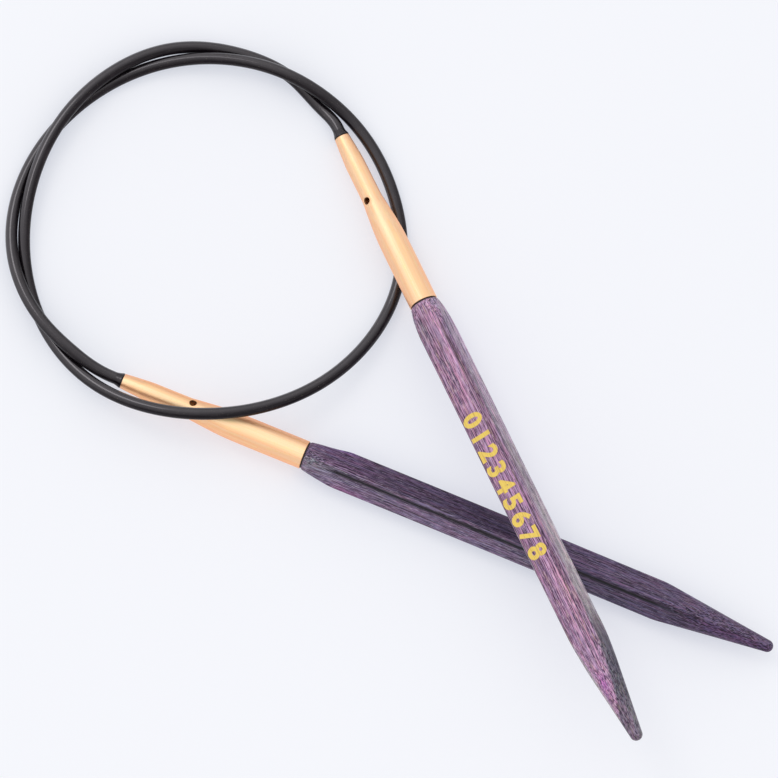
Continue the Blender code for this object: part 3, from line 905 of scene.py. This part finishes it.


# Wood looks, with heights and distances in the needle's frame:
# lean: a side, in the CAD's axes, where the shoulder is cut back by cut and which the wood
#   bends away from by warp; wide stretches the section along y
# x_face, y_face: rows of (height, red, green, blue) multipliers; besides the wood's own face colours they hold
# painted light: painted sheen on faces that catch it, and on needle 2 painted shade where needle 1 lies across it
# edges: a line at a distance from the corner (sign of x, sign of y, face that counts as
#   positive), with rows of (height, strength); lines whose strength is below nought are
#   lighter, and these are painted highlights and rims along ridges and outlines
# slate: rows of (height, border, strength), with the border measured along across
# patches: (height, place along across, reach along, reach across, multipliers); the pale one by needle 2's seam is
# a painted highlight on its shoulder
SLATE_TINT = (0.30, 0.44, 0.37)
WOOD_LOOKS = {
    "1": dict(
        seed=3,
        lean=None,
        wide=0.034,
        dark=(0.060, 0.026, 0.070),
        light=(0.60, 0.355, 0.54),
        cool=(0.88, 0.98, 1.06),
        warm=(1.08, 0.92, 1.00),
        tan=(0.50, 0.34, 0.28),
        fleck=(0.66, 0.50, 0.62),
        flecks=0.75,
        pore=(0.045, 0.022, 0.050),
        shine=0.25,
        coat=0.10,
        x_face=(
            (30, 1.05, 1.05, 1.0),
            (48, 1.06, 1.02, 0.98),
            (70, 1.03, 0.97, 1.0),
            (98, 1.05, 1.02, 1.0),
        ),
        # partly painted light: the narrow face's grey, lighter towards the point, is partly a painted sheen
        y_face=(
            (32, 0.98, 1.15, 1.05),
            (45, 0.92, 1.12, 0.97),
            (70, 0.92, 1.22, 0.92),
            (86, 1.05, 1.50, 1.02),
            (96, 1.00, 1.40, 0.98),
        ),
        edges=(
            dict(
                corner=(1, -1, "x"),
                at=0.50,
                width=0.36,
                strength=(
                    (36, 0.0),
                    (40, 0.60),
                    (48, 0.45),
                    (70, 0.38),
                    (84, 0.35),
                    (92, 0.12),
                    (96, 0.0),
                ),
            ),
            dict(
                corner=(1, -1, "y"),
                at=0.45,
                width=0.60,
                strength=((33, 0.0), (38, 0.24), (52, 0.18), (84, 0.28), (96, 0.1)),
                colour=(0.8, 1.25, 0.75),
            ),
            # painted highlight: the narrow face lightens towards its outer edge
            dict(
                corner=(-1, -1, "y"),
                at=0.3,
                width=0.9,
                strength=((34, -0.45), (60, -0.40), (84, -0.55), (100, -0.2)),
            ),
            # painted highlight: a thin pale line on the printed face beside the ridge
            dict(
                corner=(1, -1, "x"),
                at=1.15,
                width=0.12,
                strength=((36, -0.5), (44, -0.5), (46, 0)),
            ),
            dict(
                corner=(1, 1, "x"),
                at=0.2,
                width=0.9,
                strength=((34, 0.22), (94, 0.22), (98, 0.0)),
            ),
            dict(
                corner=(-1, 1, "x"),
                at=0.45,
                width=0.36,
                strength=((34, 0.0), (38, 0.6)),
            ),
        ),
        across=(0.337, 0.940),
        slate=(
            (91.5, -1.9, 0.0),
            (94.0, -1.6, 0.55),
            (97.0, -1.5, 0.90),
            (102.0, -0.75, 1.0),
            (107.0, 0.05, 0.95),
            (112.0, 1.5, 0.75),
        ),
        patches=(
            (105.0, 1.1, 2.0, 0.6, (1.05, 0.70, 1.12)),
            (88.5, -0.3, 5.0, 0.8, (1.20, 1.14, 1.00)),
            (40.0, 0.9, 6.0, 0.9, (0.76, 0.78, 0.78)),
            (36.5, 2.0, 2.0, 0.7, (0.75, 0.90, 0.80)),
        ),
    ),
    "2": dict(
        seed=5,
        lean=(0.385, 0.923, 0.0),
        cut=0.24,
        warp=0.42,
        wide=0.0,
        dark=(0.014, 0.007, 0.018),
        light=(0.160, 0.108, 0.178),
        cool=(0.88, 1.00, 1.12),
        warm=(1.10, 0.92, 1.00),
        tan=(0.10, 0.072, 0.078),
        fleck=(0.34, 0.29, 0.38),
        flecks=0.5,
        pore=(0.008, 0.004, 0.010),
        shine=0.18,
        coat=0.08,
        # brighter by the seam, partly a painted sheen
        x_face=(
            (32, 1.45, 1.15, 1.4),
            (45, 1.0, 0.95, 1.05),
            (62, 0.66, 0.62, 0.72),
            (80, 0.9, 0.85, 0.98),
            (96, 1.1, 1.1, 1.15),
        ),
        # partly painted light: the near face is lightened as a painted sheen, and darker past 60 partly as painted
        # shade where needle 1 lies across it
        y_face=(
            (32, 1.72, 1.80, 1.62),
            (60, 1.60, 1.65, 1.58),
            (85, 0.90, 0.95, 1.0),
            (98, 0.85, 0.85, 0.95),
            (106, 0.82, 0.66, 0.88),
        ),
        edges=(
            dict(
                corner=(-1, -1, "y"),
                at=0.98,
                width=0.44,
                strength=((36.0, 0.0), (38.5, 0.97), (94, 0.98), (100, 0.4), (104, 0.0)),
            ),
            # painted highlight: a pale olive-grey band along the ridge and over the point
            dict(
                corner=(-1, -1, "x"),
                at=0.35,
                width=0.42,
                strength=(
                    (36, -0.2),
                    (40, -0.50),
                    (55, -0.22),
                    (80, -0.08),
                    (98, 0.05),
                    (103, -0.40),
                ),
                colour=(1.0, 1.2, 0.85),
            ),
            # painted highlight: a pale bluish rim along the far outline by the seam and along the point
            dict(
                corner=(-1, 1, "x"),
                at=0.35,
                width=0.50,
                strength=((32, -1.6), (38, -1.2), (42, 0.0), (97, 0.0), (101, -1.3), (113, -1.8)),
                colour=(0.8, 1.0, 1.3),
            ),
            dict(
                corner=(1, 1, "y"),
                at=1.05,
                width=0.28,
                strength=((36, 0.0), (39, 0.9), (99, 0.0)),
            ),
        ),
        across=(-0.82, -0.57),
        slate=(),
        patches=(
            # painted highlight: the pale patch on the shoulder by the seam
            (34.0, 2.6, 3.0, 0.9, (1.10, 1.35, 1.10)),
            (41.0, -0.2, 4.0, 0.8, (1.30, 0.85, 1.15)),
        ),
    ),
}


# Painted light on each ferrule, a faint glow in place of light the studio lacks: a direction, the glow elsewhere,
# and the glow where it faces that, a painted highlight
FERRULE_PAINTED_GLOWS = {
    "1": ((0.290, -0.069, 0.955), (0.07, 0.04, 0.03), (0.12, 0.09, 0.05)),
    "2": ((0.052, -0.097, 0.993), (0.10, 0.02, 0.00), (0.23, 0.19, 0.11)),
}


# Studio


def build_floor():
    """Pale light table: it scatters the light above it, and glows a little from below."""
    made = new_material("pale_floor")
    place = made.coords()
    tone = made.ramp(made.noise(place, (0.4,) * 3), 0.3, 0.7, 0.99, 1.01)
    glow = [whole - part for whole, part in zip(FLOOR_COLOUR, FLOOR_SCATTER)]
    grey = made.add("CombineXYZ", {i: tone for i in range(3)})
    colour = made.mix(1.0, FLOOR_SCATTER, grey, "MULTIPLY")
    made.set(Base_Color=colour, Roughness=0.7, Specular_IOR_Level=0.0)
    made.set(Emission_Color=(*glow, 1.0), Emission_Strength=1.0)
    mesh = bpy.data.meshes.new("floor")
    signs = ((-1, -1), (1, -1), (1, 1), (-1, 1))
    corners = [(x * FLOOR_REACH, y * FLOOR_REACH, 0) for x, y in signs]
    mesh.from_pydata(corners, [], [(0, 1, 2, 3)])
    mesh.materials.append(made.owner)
    floor = bpy.data.objects.new("floor", mesh)
    bpy.context.scene.collection.objects.link(floor)


def build_world():
    """Light tent: bright overhead, dimmer near the horizon, most so at its front and back."""
    made = Nodes(bpy.data.worlds.new("studio"))
    bpy.context.scene.world = made.owner
    made.tree.nodes.clear()
    direction = made.add("TexCoord", out=0)
    y, z = (made.add("SeparateXYZ", {0: direction}, out=i) for i in (1, 2))
    drop = made.math("MULTIPLY", made.math("MULTIPLY", y, y), WALL_DROP)
    wall = made.math("SUBTRACT", WALL_LEVEL, drop)
    rise = made.ramp(z, *ROOF_RISE)
    level = made.add("Mix", {0: rise, 2: wall, 3: ROOF_LEVEL}, data_type="FLOAT")
    seen = made.add("LightPath", out=0)
    level = made.add("Mix", {0: seen, 2: level, 3: BACKDROP_LEVEL}, data_type="FLOAT")
    light = made.add("Background", {"Color": TENT_COLOUR, "Strength": level})
    made.add("OutputWorld", {"Surface": light}, out=None)


def soft_light(name, azimuth, elevation, distance, angle, radiance):
    """A round soft box, distance in metres and angle its half width; azimuth 0 is over +Y."""
    a, e = math.radians(azimuth), math.radians(elevation)
    towards = Vector((-math.sin(a) * math.cos(e), math.cos(a) * math.cos(e), math.sin(e)))
    radius = distance * math.tan(math.radians(angle))
    data = bpy.data.lights.new(name, "AREA")
    data.shape = "DISK"
    data.size = 2 * radius
    data.energy = radiance * math.pi * math.pi * radius**2
    light = bpy.data.objects.new(name, data)
    light.location = towards * distance
    light.rotation_mode = "QUATERNION"
    light.rotation_quaternion = towards.to_track_quat("Z", "Y")
    light.visible_camera = False
    bpy.context.scene.collection.objects.link(light)


def build_camera():
    data = bpy.data.cameras.new("camera")
    data.lens = CAMERA_LENS
    data.sensor_width = CAMERA_SENSOR
    data.clip_start = 0.05
    data.clip_end = 50.0
    camera = bpy.data.objects.new("camera", data)
    bpy.context.scene.collection.objects.link(camera)
    e = math.radians(CAMERA_ELEVATION)
    back = Vector((0.0, -math.cos(e), math.sin(e)))
    camera.location = AIM + back * (VIEW_WIDTH * MM * CAMERA_LENS / CAMERA_SENSOR)
    camera.rotation_mode = "QUATERNION"
    camera.rotation_quaternion = back.to_track_quat("Z", "Y")
    bpy.context.scene.camera = camera


def build_studio():
    build_floor()
    build_world()
    soft_light("softbox", azimuth=48.0, elevation=54.0, distance=1.5, angle=12.0, radiance=2.1)
    build_camera()
    bpy.context.scene.view_settings.view_transform = "Standard"
    bpy.context.scene.view_settings.look = "None"


def paint_inner_parts():
    """Procedural metal on the CAD nodes that stay: core, studs, washers and bushes."""
    steel = turned_metal_material("inner_steel", (0.50, 0.50, 0.51), (0.66, 0.66, 0.67), 0.30)
    brass = turned_metal_material("inner_brass", (0.62, 0.43, 0.18), (0.78, 0.58, 0.28), 0.32)
    kept = {"cable_core": steel}
    for key in FLEX_JOINTS:
        kept[f"core_end_{key}"] = steel
        kept[f"swivel_stud_{key}"] = steel
        kept[f"thrust_washer_{key}"] = steel
        kept[f"swivel_bush_{key}"] = brass
    for node, material in kept.items():
        mesh = frame["nodes"][node].data
        mesh.materials.clear()
        mesh.materials.append(material)


def build_needles():
    collar = nylon_material("black_collar", (0.14, 0.70))
    glue = glue_material()
    for key, look in WOOD_LOOKS.items():
        build_collar(key, collar)
        build_ferrule(key, rose_gold_material(f"rose_gold_{key}", *FERRULE_PAINTED_GLOWS[key]))
        build_glue(key, glue)
        build_tip(key, wood_material(f"purple_wood_{key}", look), look)
    build_print(gold_print_material())


paint_inner_parts()
build_cable(nylon_material("black_nylon_cable", (0.16, 1.10), "lay"))
build_needles()
build_studio()
